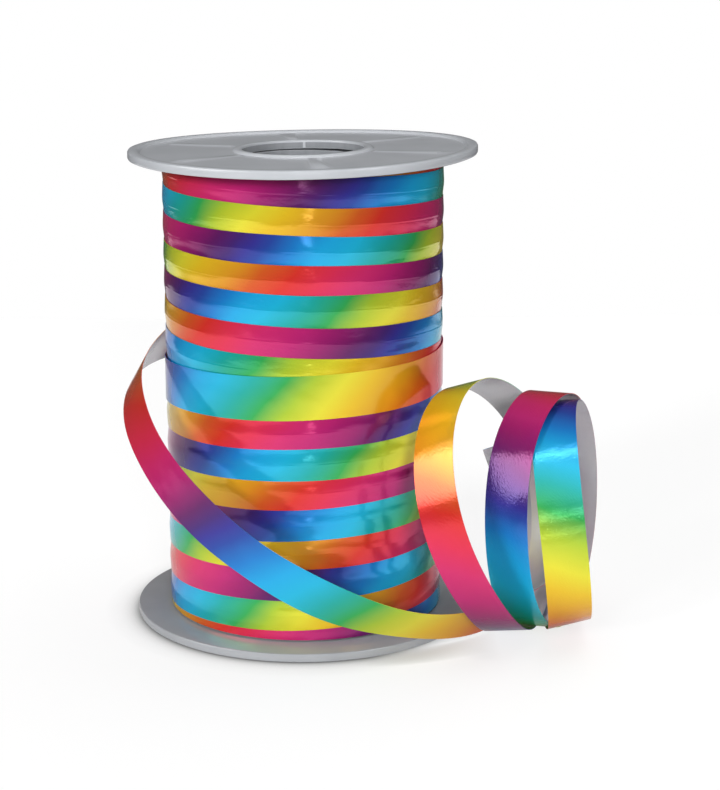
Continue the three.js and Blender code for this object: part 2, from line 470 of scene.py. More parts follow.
# %% [markdown]
# ## Lower turns
# The lower strip climbs from the bottom flange. Its last turn lies over both halves of the
# winding, so it has no ridge: it is eased out to one even radius, a little above them.

# %% Lower turns
LOWER_START = -0.5
CLIMBS_FROM, CLIMBS_TO = 7.35, 7.7
OVER_BOTH = 0.16

t, radius, height, phase, place = wound_strip(LOWER_TURNS, LOWER_START, LEAVES_AT, True)
climb = eased(t, CLIMBS_FROM, CLIMBS_TO)[:, None]
radius = radius * (1 - climb) + (WINDING_RADIUS + OVER_BOTH) * climb
lower_face = about_axis(t, radius, height)
print("print at the place where the ribbon leaves:", round(phase[-1, 0], 2))

# %% [markdown]
# ## Where the last turn becomes the loose end
# The two bodies have to look like one ribbon. So the last rows of the wound strip are blended
# towards a goal: the first row of the loose end, carried back round the spool along its own
# slope. They meet point to point, and neither the place nor the slope jumps.

# %% Last rows of the lower turns
BLEND_LENGTH = 0.17
SLOPE_SAMPLES = 4

first_row = loose_face[0]
first_radius = np.hypot(first_row[:, 0], first_row[:, 1])
first_turn = np.arctan2(first_row[:, 0], -first_row[:, 1]) / (2 * math.pi)
back_turns = (LEAVES_AT - t)[:, None]
angle = 2 * math.pi * (first_turn[None, :] - back_turns)
leaving_slope = (middle[SLOPE_SAMPLES, 2] - middle[0, 2]) / length[SLOPE_SAMPLES]
rise_in_turn = leaving_slope * 2 * math.pi * WINDING_RADIUS
goal_height = first_row[None, :, 2] - rise_in_turn * back_turns
goal = np.stack([first_radius * np.sin(angle), -first_radius * np.cos(angle), goal_height], 2)
blend = eased(t, LEAVES_AT - BLEND_LENGTH, LEAVES_AT)[:, None, None]
turns_lower = film_body(
    "turns_lower",
    lower_face * (1 - blend) + goal * blend,
    away_from_axis(t),
    phase,
    place,
    climb[:, 0] - 1,
    np.full(len(t), WOUND_DRAWN),
)
print("the ribbon leaves with a slope of", round(leaving_slope, 3))

# %% [markdown]
# ## Print on the loose end
# The rainbow doesn't repeat quite evenly along a real ribbon, because the film stretches when
# it is printed and again when it is curled. A short table says how many repeats have gone by at
# each length. It starts very near the number that the wound strip ends with. The colours meet
# the edges at a slight slant, which comes in over the first few centimetres.

# %% Print on the loose end
# length from the winding, repeats of the rainbow so far
LOOSE_PRINT = [
    (0, 14.74),
    (47, 15.02),
    (65, 15.13),
    (77, 15.27),
    (95, 15.44),
    (107, 15.53),
    (131, 15.73),
    (155.5, 15.92),
    (256.5, 16.81),
    (281.5, 16.99),
    (303.5, 17.16),
    (440, 18.20),
    (448, 18.28),
    (460, 18.36),
    (468.5, 18.46),
    (476.5, 18.52),
    (589, 19.38),
    (604, 19.51),
    (616, 19.64),
    (634.5, 19.80),
    (646.5, 19.90),
    (723, 20.52),
]
LOOSE_SLANT = 0.03
SLANT_COMES_IN = (0, 60)
DRAWN_COMES_IN = (120, 240)

loose_print = np.array(LOOSE_PRINT, float)
print_at = spline_through(loose_print[:, 0], loose_print[:, 1:])
across_place = np.repeat(np.linspace(0, 1, FILM_COLUMNS)[None, :], len(middle), axis=0)
slant = LOOSE_SLANT * (across_place - 0.5) * eased(length, *SLANT_COMES_IN)[:, None]
drawn = WOUND_DRAWN + (1 - WOUND_DRAWN) * eased(length, *DRAWN_COMES_IN)
loose_end = film_body(
    "loose_end", loose_face, loose_out, print_at(length) + slant, across_place, 0 * length, drawn
)

# %% [markdown]
# ## Turned parts of the spool
# The flanges and the core are moulded, but they are round about one axis, so each is made as a
# turner would cut it. A ring of points is added at the first point of the profile, and is
# extruded and resized from point to point until it meets itself. Merging the doubles closes it.

# %% Turned ring
RING_POINTS = 144
MERGE_DISTANCE = 0.00001
SMOOTH_ANGLE = math.radians(38)


def turned_ring(name, profile):
    """A closed ring turned from (radius, height) points, in millimetres."""
    bpy.ops.object.select_all(action="DESELECT")
    radius, level = profile[0]
    bpy.ops.mesh.primitive_circle_add(
        vertices=RING_POINTS, radius=radius * MM, location=(AXIS_X, AXIS_Y, level * MM)
    )
    piece = bpy.context.object
    piece.name = name
    bpy.ops.object.transform_apply(location=True, rotation=True, scale=True)
    bpy.ops.object.mode_set(mode="EDIT")
    bpy.ops.mesh.select_mode(type="VERT")
    bpy.ops.mesh.select_all(action="SELECT")
    for (r0, z0), (r1, z1) in zip(profile, profile[1:] + profile[:1]):
        bpy.ops.mesh.extrude_region_move(TRANSFORM_OT_translate={"value": (0, 0, (z1 - z0) * MM)})
        centre = (AXIS_X, AXIS_Y, z1 * MM)
        bpy.ops.transform.resize(value=(r1 / r0, r1 / r0, 1), center_override=centre)
    bpy.ops.mesh.select_all(action="SELECT")
    bpy.ops.mesh.remove_doubles(threshold=MERGE_DISTANCE)
    bpy.ops.mesh.normals_make_consistent(inside=False)
    bpy.ops.object.mode_set(mode="OBJECT")
    bpy.ops.object.shade_smooth_by_angle(angle=SMOOTH_ANGLE)
    print(name, "has", len(piece.data.polygons), "faces")
    return piece


# %% [markdown]
# ## Flange
# A flange is a disc two millimetres thick with a rounded raised lip and a raised collar round
# the hole. Between them lies a web that is half a millimetre lower. Both flanges are taken to
# come from one mould, so one is made and then copied.

# %% Flange
SPOOL_HEIGHT = 110
FLANGE_THICKNESS = 2
WEB_THICKNESS = 1.5
FLANGE_BORE = 14.0
# radius, height above the inner face
FLANGE_PROFILE = [
    (FLANGE_BORE, 0.2),
    (14.2, 0.0),
    (39.5, 0.0),
    (39.85, 0.12),
    (40.0, 0.4),
    (40.0, 1.6),
    (39.85, 1.88),
    (39.5, FLANGE_THICKNESS),
    (38.0, FLANGE_THICKNESS),
    (37.5, 1.85),
    (37.1, WEB_THICKNESS),
    (33.6, WEB_THICKNESS),
    (17.5, WEB_THICKNESS),
    (16.2, WEB_THICKNESS),
    (15.9, 1.85),
    (15.5, FLANGE_THICKNESS),
    (14.5, FLANGE_THICKNESS),
    (14.1, 1.85),
    (FLANGE_BORE, WEB_THICKNESS),
]
inner_face = SPOOL_HEIGHT - FLANGE_THICKNESS
flange_top = turned_ring("flange_top", [(r, inner_face + z) for r, z in FLANGE_PROFILE])

# %% [markdown]
# ## Picking faces by their place
# By hand, faces are picked with the mouse. In a script they are found by where they lie: the
# helper goes into edit mode with just those selected whose centre passes a test. A second one
# leaves edit mode and sets the smooth shading anew, since new edges have come in between.


# %% Picked faces
def pick_faces(piece, belongs):
    """Goes into edit mode. belongs gets a face's centre in millimetres from the axis."""
    bpy.ops.object.select_all(action="DESELECT")
    bpy.context.view_layer.objects.active = piece
    piece.select_set(True)
    bpy.ops.object.mode_set(mode="EDIT")
    bpy.ops.mesh.select_mode(type="FACE")
    bpy.ops.mesh.select_all(action="DESELECT")
    body = bmesh.from_edit_mesh(piece.data)
    picked = 0
    for side in body.faces:
        centre = side.calc_center_median()
        side.select = belongs((centre.x - AXIS_X) / MM, (centre.y - AXIS_Y) / MM, centre.z / MM)
        picked += side.select
    bmesh.update_edit_mesh(piece.data)
    print("picked", picked, "faces of", piece.name)


def leave_edit_mode():
    """Ends the work on a piece and shades it smooth again."""
    bpy.ops.mesh.select_all(action="DESELECT")
    bpy.ops.object.mode_set(mode="OBJECT")
    bpy.ops.object.shade_smooth_by_angle(angle=SMOOTH_ANGLE)


# %% [markdown]
# ## Ribs
# Six low ribs run like spokes over the web and stiffen it. They could be six wedges set on the
# disc, but then their feet would show as seams. Here the web's own faces are inset and lifted
# in one stroke, which gives each rib its sloping sides.

# %% Ribs
RIB_SPACING = 60
FIRST_RIB = -23.75
RIB_HALF_ANGLE = 3.75
RIB_START, RIB_END = 17.6, 33.5
RIB_HEIGHT = 0.22
RIB_SLOPE = 0.6


def in_a_rib(x, y, z):
    past_rib = (math.degrees(math.atan2(y, x)) - FIRST_RIB) % RIB_SPACING
    from_rib = min(past_rib, RIB_SPACING - past_rib)
    on_web = abs(z - inner_face - WEB_THICKNESS) < 0.01
    return on_web and RIB_START < math.hypot(x, y) < RIB_END and from_rib < RIB_HALF_ANGLE


pick_faces(flange_top, in_a_rib)
bpy.ops.mesh.inset(thickness=RIB_SLOPE * MM, depth=RIB_HEIGHT * MM)
leave_edit_mode()
print("the flange now has", len(flange_top.data.polygons), "faces")

# %% [markdown]
# ## Mould line
# Where the two halves of the mould met, a thin upright line stands out of the wall of the hole.
# It catches the light at the back. On the flanges its glint is partly a painted highlight, since it
# keeps the flange's lighter grey while the wall around it is painted dark. One narrow face of the
# wall there is pushed inwards a little.

# %% Mould line
MOULD_LINE_PROUD = 0.12
MOULD_LINE_END = 0.35
WALL_TOLERANCE = 0.02


def raise_mould_line(piece, bore_radius):
    """Lifts a thin upright line out of the wall of the bore, at the back."""

    def in_the_line(x, y, z):
        on_wall = abs(math.hypot(x, y) - bore_radius) < WALL_TOLERANCE
        return on_wall and 0 < x < MOULD_LINE_END and y > 0

    pick_faces(piece, in_the_line)
    inwards = (0, -MOULD_LINE_PROUD * MM, 0)
    bpy.ops.mesh.extrude_region_move(TRANSFORM_OT_translate={"value": inwards})
    leave_edit_mode()


raise_mould_line(flange_top, FLANGE_BORE)

# %% [markdown]
# ## Lower flange
# The lower flange is the same moulding turned over. A copy with its own mesh is mirrored about
# the spool's half height. Mirroring turns the faces inside out, so the doubles are merged and
# the normals made consistent again.

# %% Lower flange
flange_bottom = flange_top.copy()
flange_bottom.data = flange_top.data.copy()
flange_bottom.name = "flange_bottom"
bpy.context.scene.collection.objects.link(flange_bottom)
half_height = (AXIS_X, AXIS_Y, SPOOL_HEIGHT / 2 * MM)
pick_faces(flange_bottom, lambda x, y, z: True)
bpy.ops.transform.resize(value=(1, 1, -1), center_override=half_height)
bpy.ops.mesh.remove_doubles(threshold=MERGE_DISTANCE)
bpy.ops.mesh.normals_make_consistent(inside=False)
leave_edit_mode()
print("the spool stands at", round(min(v.co.z for v in flange_bottom.data.vertices), 6))

# %% [markdown]
# ## Warp of the upper flange
# A thin disc warps a little after it leaves the mould. The upper flange sits slightly askew and
# is bent like a saddle by a third of a millimetre, which shows in its long thin outline.

# %% Warp of the upper flange
TILT = 0.0156
SADDLE = 0.37
FLANGE_RADIUS = 40
for vertex in flange_top.data.vertices:
    x = vertex.co.x - AXIS_X
    y = vertex.co.y - AXIS_Y
    turn = 2 * math.atan2(y, x)
    reach = math.hypot(x, y) / (FLANGE_RADIUS * MM)
    vertex.co.z += TILT * x + SADDLE * MM * reach * reach * math.cos(turn)
print("the upper flange now reaches", round(max(v.co.z for v in flange_top.data.vertices), 4))

# %% [markdown]
# ## Core and older turns
# The core is the tube that holds the flanges together. Through the hole in the upper flange its
# end shows as a thin ledge, with the mould line running on. Under the visible turns lies the
# rest of the ribbon, which only its outer limit shows, so it is one plain ring.

# %% Core and older turns
CORE_BORE = 13.4
CORE_PROFILE = [
    (13.6, 2.3),
    (16.8, 2.3),
    (17.0, 2.6),
    (17.0, 107.4),
    (16.8, 107.7),
    (13.6, 107.7),
    (CORE_BORE, 107.5),
    (CORE_BORE, 2.5),
]
OLDER_PROFILE = [
    (17.3, 2.4),
    (31.7, 2.4),
    (31.7, 107.5),
    (17.3, 107.5),
]
core = turned_ring("core", CORE_PROFILE)
raise_mould_line(core, CORE_BORE)
turns_older = turned_ring("turns_older", OLDER_PROFILE)

# %% [markdown]
# ## Helpers for the finishes
# Every finish is a Principled shader fed by a few nodes. These helpers keep the trees short:
# they feed a socket with a number or a link, add a math node, and hold a value between 0 and 1.


# %% Sockets and sums
def feed(tree, value, socket):
    """Sets a socket to a number, or links it where value is a node's output."""
    if isinstance(value, (int, float)):
        socket.default_value = value
    else:
        tree.links.new(value, socket)


def math_node(tree, operation, first, second=None, third=None):
    node = tree.nodes.new("ShaderNodeMath")
    node.operation = operation
    for socket, value in zip(node.inputs, (first, second, third)):
        if value is not None:
            feed(tree, value, socket)
    return node.outputs[0]


def above(tree, value, start, gain):
    """0 as far as start, then rising by gain, and 1 at the most."""
    rise = math_node(tree, "SUBTRACT", value, start)
    rise = math_node(tree, "MULTIPLY", rise, gain)
    rise = math_node(tree, "MAXIMUM", rise, 0)
    return math_node(tree, "MINIMUM", rise, 1)


# %% Noise, ramp and bump
def noise_node(tree, place, scale, detail=2):
    noise = tree.nodes.new("ShaderNodeTexNoise")
    feed(tree, scale, noise.inputs["Scale"])
    noise.inputs["Detail"].default_value = detail
    tree.links.new(place, noise.inputs["Vector"])
    return noise.outputs[0]


def flat_noise(tree, along, across, detail):
    """Noise from a distance along and one across."""
    place = tree.nodes.new("ShaderNodeCombineXYZ")
    tree.links.new(along, place.inputs[0])
    tree.links.new(across, place.inputs[1])
    return noise_node(tree, place.outputs[0], 1, detail)


def add_ramp(tree, value, stops):
    node = tree.nodes.new("ShaderNodeValToRGB")
    tree.links.new(value, node.inputs[0])
    elements = node.color_ramp.elements
    while len(elements) < len(stops):
        elements.new(0.5)
    for element, (at, colour) in zip(elements, stops):
        element.position = at
        element.color = (*colour, 1)
    return node.outputs[0]


def add_bump(tree, height, distance, strength, below=None):
    bump = tree.nodes.new("ShaderNodeBump")
    bump.inputs["Distance"].default_value = distance
    bump.inputs["Strength"].default_value = strength
    tree.links.new(height, bump.inputs["Height"])
    if below is not None:
        tree.links.new(below, bump.inputs["Normal"])
    return bump.outputs[0]


# %% [markdown]
# ## Node groups
# An effect that several finishes share is built once as a node group and placed in each. A
# group has named inputs and outputs, like a part with marked fittings, so a change to it
# reaches every finish that it is placed in.


# %% Groups
def new_group(name, inputs, outputs):
    """An empty group. inputs and outputs give each socket's name and kind."""
    group = bpy.data.node_groups.new(name, "ShaderNodeTree")
    for way, sockets in (("INPUT", inputs), ("OUTPUT", outputs)):
        for label, kind in sockets.items():
            group.interface.new_socket(label, in_out=way, socket_type="NodeSocket" + kind)
    return group, group.nodes.new("NodeGroupInput").outputs, group.nodes.new("NodeGroupOutput").inputs


def place_group(tree, group, values):
    """Puts a group into a finish and feeds its inputs. Returns its outputs."""
    node = tree.nodes.new("ShaderNodeGroup")
    node.node_tree = group
    for label, value in values.items():
        feed(tree, value, node.inputs[label])
    return node.outputs


# %% [markdown]
# ## Streaks and puckers of the film
# Film that has been drawn over a blade has fine strokes, which fray the ends of every
# reflection. They run at a slant to the strip, as the blade is never held quite square. Film
# that is wound puckers a little as well, in waves about a centimetre long, and more than film
# that lies free. Both are noise over the film's own place, so they bend with it.

# %% Streaks and puckers
REPEAT_LENGTH = 128.6
STROKE_LEAN = 0.5
STROKES_ALONG, STROKES_OVER = 0.8, 2.8
FREE_PUCKER = 0.45
# waves to the millimetre, along and across
PUCKERS = (0.09, 0.16)

streaks, film_in, film_out = new_group(
    "film streaks",
    {"Along": "Float", "Across": "Float", "Ridge": "Float", "Drawn": "Float"},
    {"Streak": "Float", "Pucker": "Float", "Crease": "Float"},
)


def film_noise(waves, detail):
    """Noise with so many waves to the millimetre, along and across."""
    along = math_node(streaks, "MULTIPLY", film_in["Along"], waves[0] * REPEAT_LENGTH)
    across = math_node(streaks, "MULTIPLY", film_in["Across"], waves[1] * RIBBON_WIDTH)
    return flat_noise(streaks, along, across, detail)


along_mm = math_node(streaks, "MULTIPLY", film_in["Along"], REPEAT_LENGTH)
across_mm = math_node(streaks, "MULTIPLY", film_in["Across"], RIBBON_WIDTH)
with_stroke = math_node(streaks, "MULTIPLY_ADD", across_mm, STROKE_LEAN, along_mm)
with_stroke = math_node(streaks, "MULTIPLY", with_stroke, STROKES_ALONG)
over_stroke = math_node(streaks, "MULTIPLY_ADD", along_mm, -STROKE_LEAN, across_mm)
over_stroke = math_node(streaks, "MULTIPLY", over_stroke, STROKES_OVER)
strokes = flat_noise(streaks, with_stroke, over_stroke, 2)
feed(streaks, math_node(streaks, "MULTIPLY", strokes, film_in["Drawn"]), film_out["Streak"])

wide = film_noise(PUCKERS, 1)
wound = math_node(streaks, "ABSOLUTE", film_in["Ridge"])
pull = math_node(streaks, "MULTIPLY_ADD", wound, 1 - FREE_PUCKER, FREE_PUCKER)
wave = math_node(streaks, "SUBTRACT", wide, 0.5)
feed(streaks, math_node(streaks, "MULTIPLY_ADD", wave, pull, 0.5), film_out["Pucker"])
print("inputs of the streaks:", [socket.name for socket in film_in if socket.name])

# %% [markdown]
# ## Crease along the ridge
# Where a turn bends over its neighbour's edge the film creases, here and there, in a thin line.
# It is a hump across a narrow band about the ridge, and the wide puckers decide where along the
# turn it shows. On the lower turns it is fainter. In a few patches the film is crumpled too.

# %% Crease along the ridge
RIDGE_OFFSET = 0.15
RIDGE_HALF_WIDTH = 0.04
LOWER_RIDGE = 0.35
RIDGE_ROUNDNESS = 1.5
CREASE_FROM, CREASE_GAIN = 0.42, 5
PATCH_FROM, PATCH_GAIN = 0.62, 8
# waves to the millimetre, along and across
PATCHES = (0.06, 0.3)
CRUMPLES = (0.8, 1.0)

ridge_place = math_node(streaks, "MULTIPLY_ADD", film_in["Ridge"], RIDGE_OFFSET, 0.5)
from_ridge = math_node(streaks, "SUBTRACT", film_in["Across"], ridge_place)
from_ridge = math_node(streaks, "DIVIDE", from_ridge, RIDGE_HALF_WIDTH)
hump = math_node(streaks, "MULTIPLY", from_ridge, from_ridge)
hump = math_node(streaks, "SUBTRACT", 1, hump)
hump = math_node(streaks, "MAXIMUM", hump, 0)
hump = math_node(streaks, "POWER", hump, RIDGE_ROUNDNESS)
lower = math_node(streaks, "MULTIPLY", film_in["Ridge"], -LOWER_RIDGE)
share_here = math_node(streaks, "MAXIMUM", film_in["Ridge"], lower)
hump = math_node(streaks, "MULTIPLY", hump, share_here)
hump = math_node(streaks, "MULTIPLY", hump, above(streaks, wide, CREASE_FROM, CREASE_GAIN))

patch = above(streaks, film_noise(PATCHES, 0), PATCH_FROM, PATCH_GAIN)
patch = math_node(streaks, "MULTIPLY", patch, share_here)
crumple = math_node(streaks, "MULTIPLY", film_noise(CRUMPLES, 2), patch)
feed(streaks, math_node(streaks, "ADD", crumple, hump), film_out["Crease"])
print("nodes in the streaks:", len(streaks.nodes))

# %% [markdown]
# ## Rainbow print
# The print is one gradient with no edges, from red through violet, blue, green and yellow back
# to red. It repeats every 129 mm or so, as a printing roller of that girth would make it. A
# ramp over the fraction of a repeat gives it. The printed face and the cut edge both use it.

# %% Rainbow print
# place in the repeat, colour
RAINBOW = [
    (0.00, (0.66, 0.030, 0.020)),
    (0.06, (0.68, 0.025, 0.075)),
    (0.12, (0.60, 0.022, 0.140)),
    (0.18, (0.47, 0.014, 0.150)),
    (0.23, (0.30, 0.010, 0.130)),
    (0.29, (0.11, 0.010, 0.110)),
    (0.33, (0.055, 0.018, 0.160)),
    (0.36, (0.035, 0.030, 0.270)),
    (0.39, (0.02, 0.060, 0.330)),
    (0.44, (0.01, 0.190, 0.560)),
    (0.49, (0.01, 0.370, 0.710)),
    (0.54, (0.01, 0.430, 0.660)),
    (0.60, (0.01, 0.370, 0.330)),
    (0.66, (0.03, 0.370, 0.080)),
    (0.71, (0.38, 0.530, 0.030)),
    (0.77, (0.70, 0.640, 0.030)),
    (0.82, (0.74, 0.480, 0.015)),
    (0.90, (0.66, 0.270, 0.015)),
    (0.95, (0.62, 0.100, 0.015)),
    (1.00, (0.66, 0.030, 0.020)),
]
rainbow, print_in, print_out = new_group("rainbow print", {"Repeats": "Float"}, {"Colour": "Color"})
in_repeat = math_node(rainbow, "FRACT", print_in["Repeats"])
feed(rainbow, add_ramp(rainbow, in_repeat, RAINBOW), print_out["Colour"])
print("colours in the rainbow:", len(RAINBOW))


# %% [markdown]
# ## A new finish
# Each finish starts from the same three lines. Roughness and metal are the same all over, so
# they are set on the shader's own sockets. Film finishes also read their place on the film.


# %% New finish
def new_material(name, roughness, metallic=0.0):
    material = bpy.data.materials.new(name)
    material.use_nodes = True
    shader = material.node_tree.nodes["Principled BSDF"]
    shader.inputs["Roughness"].default_value = roughness
    shader.inputs["Metallic"].default_value = metallic
    return material, material.node_tree, shader


def film_place(tree):
    """Sockets for the place along and across the film."""
    place = tree.nodes.new("ShaderNodeUVMap")
    place.uv_map = "Film"
    parts = tree.nodes.new("ShaderNodeSeparateXYZ")
    tree.links.new(place.outputs[0], parts.inputs[0])
    return parts.outputs["X"], parts.outputs["Y"]


def add_streaks(tree, along, across):
    """Streak, pucker and crease of the film at each point."""
    values = {"Along": along, "Across": across}
    for label in ("Ridge", "Drawn"):
        kept = tree.nodes.new("ShaderNodeAttribute")
        kept.attribute_name = label
        values[label] = kept.outputs["Fac"]
    return place_group(tree, streaks, values)


# %% [markdown]
# ## Printed face
# The film is polyester with a thin coat of metal behind it and clear dyes in front, so it is a
# tinted mirror that still shows some colour of its own. A shader that is part metal and part
# gloss comes near to that. The print runs at a slant and wavers a little with the puckers.
# Pucker, crease and streak are three bumps, one on the other, from the widest to the finest.

# %% Printed face
PRINT_SLANT = 0.07
PRINT_WAVER = 0.03
PUCKER_DEPTH = 1.0 * MM
CREASE_DEPTH = 0.06 * MM
STREAK_DEPTH = 0.04 * MM

printed_film, tree, shader = new_material("rainbow film", roughness=0.13, metallic=0.38)
shader.inputs["Specular IOR Level"].default_value = 0.7
along, across = film_place(tree)
effect = add_streaks(tree, along, across)
slanted = math_node(tree, "MULTIPLY_ADD", across, -PRINT_SLANT, along)
wavering = math_node(tree, "MULTIPLY_ADD", effect["Pucker"], PRINT_WAVER, slanted)
colour = place_group(tree, rainbow, {"Repeats": wavering})["Colour"]
tree.links.new(colour, shader.inputs["Base Color"])
normal = add_bump(tree, effect["Pucker"], PUCKER_DEPTH, strength=0.35)
normal = add_bump(tree, effect["Crease"], CREASE_DEPTH, strength=1.0, below=normal)
normal = add_bump(tree, effect["Streak"], STREAK_DEPTH, strength=1.0, below=normal)
tree.links.new(normal, shader.inputs["Normal"])
print("nodes in the printed face:", len(tree.nodes))

# %% [markdown]
# ## Silver back and cut edge
# Behind, the metal coat shows through unprinted film: a silver grey that is duller than the
# front, a shade warmer or cooler from pucker to pucker. The cut edge is too thin to mirror
# anything, and just carries the colour of the print to the rim.

# %% Silver back and cut edge
BACK_STREAK_DEPTH = 0.1 * MM
# pucker, colour
SILVER_TINTS = [
    (0.30, (0.68, 0.66, 0.71)),
    (0.55, (0.72, 0.72, 0.74)),
    (0.75, (0.66, 0.68, 0.74)),
]
silver_back, tree, shader = new_material("silver back", roughness=0.24, metallic=0.6)
along, across = film_place(tree)
effect = add_streaks(tree, along, across)
tree.links.new(add_ramp(tree, effect["Pucker"], SILVER_TINTS), shader.inputs["Base Color"])
normal = add_bump(tree, effect["Pucker"], PUCKER_DEPTH, strength=0.2)
normal = add_bump(tree, effect["Streak"], BACK_STREAK_DEPTH, strength=0.3, below=normal)
tree.links.new(normal, shader.inputs["Normal"])

cut_edge, tree, shader = new_material("cut film edge", roughness=0.5)
along, across = film_place(tree)
colour = place_group(tree, rainbow, {"Repeats": along})["Colour"]
tree.links.new(colour, shader.inputs["Base Color"])
for piece in (turns_upper, turns_lower, loose_end):
    for finish in (printed_film, silver_back, cut_edge):
        piece.data.materials.append(finish)
print("finishes on the ribbon:", [finish.name for finish in loose_end.data.materials])

# %% [markdown]
# ## Clouds and grain of moulded plastic
# Moulded plastic is never one even grey. Faint clouds stay where the melt cooled unevenly, and
# the steel of the mould leaves a very fine grain. Both flanges have them, so they are a group
# that gets a place and the sizes of the two patterns.

# %% Clouds and grain
CLOUDS_PER_METRE = 90
GRAINS_PER_METRE = 1400
GRAIN_DEPTH = 0.05 * MM

clouds, plastic_in, plastic_out = new_group(
    "clouds and grain",
    {"Place": "Vector", "Clouds": "Float", "Grains": "Float"},
    {"Cloud": "Float", "Grain": "Float"},
)
for size, effect in (("Clouds", "Cloud"), ("Grains", "Grain")):
    pattern = noise_node(clouds, plastic_in["Place"], plastic_in[size])
    feed(clouds, pattern, plastic_out[effect])
print("nodes in the clouds and grain:", len(clouds.nodes))

# %% [markdown]
# ## Flange plastics
# The upper flange is a clean satin grey. The lower one is the same plastic with painted shade: it
# gets two darker greys for its clouds, which stand for the dimmer light it lies in near the paper.


# %% Flange plastics
def object_place(tree):
    """The place on the object, in metres."""
    return tree.nodes.new("ShaderNodeTexCoord").outputs["Object"]


def moulded_plastic(name, darker, lighter):
    """Satin plastic, with the two greys that its clouds run between."""
    material, tree, shader = new_material(name, roughness=0.2)
    sizes = {"Clouds": CLOUDS_PER_METRE, "Grains": GRAINS_PER_METRE}
    effect = place_group(tree, clouds, {"Place": object_place(tree), **sizes})
    grey = add_ramp(tree, effect["Cloud"], [(0.3, darker), (0.7, lighter)])
    tree.links.new(grey, shader.inputs["Base Color"])
    normal = add_bump(tree, effect["Grain"], GRAIN_DEPTH, strength=0.15)
    tree.links.new(normal, shader.inputs["Normal"])
    return material


upper_plastic = moulded_plastic("grey moulded plastic", (0.40, 0.415, 0.44), (0.43, 0.445, 0.47))
# Painted shade: the lower flange's greys are darker only to stand for the dimmer light near the
# paper.
shaded_lower_plastic = moulded_plastic("grey plastic with painted shade", (0.27, 0.28, 0.295), (0.30, 0.31, 0.325))
flange_top.data.materials.append(upper_plastic)
flange_bottom.data.materials.append(shaded_lower_plastic)
print("plastics:", upper_plastic.name, "and", shaded_lower_plastic.name)

# %% [markdown]
# ## Core's plastic
# The core is taken to be an extruded tube. Its greys are darker than the flanges' as painted shade,
# for the shade down the bore. A die draws faint lines along such a tube, so the noise is stretched
# upright by a Mapping node. The wall of each flange's hole gets the same finish, so it is painted
# with the same shade.

# %% Core's plastic
LINE_STRETCH = 0.04
LINES_PER_METRE = 400
LINE_DEPTH = 0.05 * MM
# line, colour
# Painted shade: these greys stand for the shade inside the bore.
BORE_SHADE_GREYS = [(0.3, (0.20, 0.21, 0.225)), (0.7, (0.235, 0.245, 0.26))]

bore_shade_plastic, tree, shader = new_material("tube plastic with painted bore shade", roughness=0.16)
drawn_lines = tree.nodes.new("ShaderNodeMapping")
drawn_lines.inputs["Scale"].default_value = (1, 1, LINE_STRETCH)
tree.links.new(object_place(tree), drawn_lines.inputs["Vector"])
lines = noise_node(tree, drawn_lines.outputs[0], LINES_PER_METRE)
tree.links.new(add_ramp(tree, lines, BORE_SHADE_GREYS), shader.inputs["Base Color"])
tree.links.new(add_bump(tree, lines, LINE_DEPTH, strength=0.2), shader.inputs["Normal"])
core.data.materials.append(bore_shade_plastic)
print("nodes in the core's plastic:", len(tree.nodes))

# %% Wall of the flanges' holes
# Painted shade: the wall of each flange's hole takes the darker finish of the core, though it is the
# flange's own plastic.
for flange in (flange_top, flange_bottom):
    flange.data.materials.append(bore_shade_plastic)
    for side in flange.data.polygons:
        x, y = side.center.x - AXIS_X, side.center.y - AXIS_Y
        on_wall = abs(math.hypot(x, y) / MM - FLANGE_BORE) < WALL_TOLERANCE
        faces_sideways = side.normal.z**2 < 0.1
        # Painted highlight: the mould line's faces lie off the wall, so they keep the lighter grey
        # and show as a light line.
        side.material_index = 1 if on_wall and faces_sideways else 0
    walls = sum(side.material_index for side in flange.data.polygons)
    print(flange.name, "has", walls, "faces on the wall of its hole")

# %% [markdown]
# ## Edges of the older turns
# At its ends the winding shows the cut edges of hundreds of older turns, as fine rings of mixed
# colours. The distance from the axis gives the ring and noise along it picks the colour, so the
# rings run round with no seam.

# %% Edges of the older turns
TURNS_PER_METRE = 4000
CHANGES_PER_METRE = 300
TURN_EDGE_DEPTH = 0.1 * MM
# noise, colour
TURN_COLOURS = [
    (0.30, (0.30, 0.05, 0.10)),
    (0.45, (0.42, 0.40, 0.45)),
    (0.58, (0.05, 0.20, 0.32)),
    (0.72, (0.36, 0.34, 0.10)),
]
older_edges, tree, shader = new_material("edges of older turns", roughness=0.35, metallic=0.3)
place = object_place(tree)
from_axis = tree.nodes.new("ShaderNodeVectorMath")
from_axis.operation = "MULTIPLY_ADD"
from_axis.inputs[1].default_value = (1, 1, 0)
from_axis.inputs[2].default_value = (-AXIS_X, -AXIS_Y, 0)
tree.links.new(place, from_axis.inputs[0])
reach = tree.nodes.new("ShaderNodeVectorMath")
reach.operation = "LENGTH"
tree.links.new(from_axis.outputs[0], reach.inputs[0])
parts = tree.nodes.new("ShaderNodeSeparateXYZ")
tree.links.new(place, parts.inputs[0])
ring = math_node(tree, "MULTIPLY", reach.outputs["Value"], TURNS_PER_METRE)
height_up = math_node(tree, "MULTIPLY", parts.outputs["Z"], CHANGES_PER_METRE)
layer = flat_noise(tree, ring, height_up, 1)
tree.links.new(add_ramp(tree, layer, TURN_COLOURS), shader.inputs["Base Color"])
tree.links.new(add_bump(tree, layer, TURN_EDGE_DEPTH, strength=0.4), shader.inputs["Normal"])
turns_older.data.materials.append(older_edges)
print("nodes in the older turns:", len(tree.nodes))

# %% [markdown]
# ## What each piece stands for
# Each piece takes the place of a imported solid, which stays behind it for collisions. The three
# pieces of wound ribbon share one solid. Nothing moves on its own, so all ride on the root.

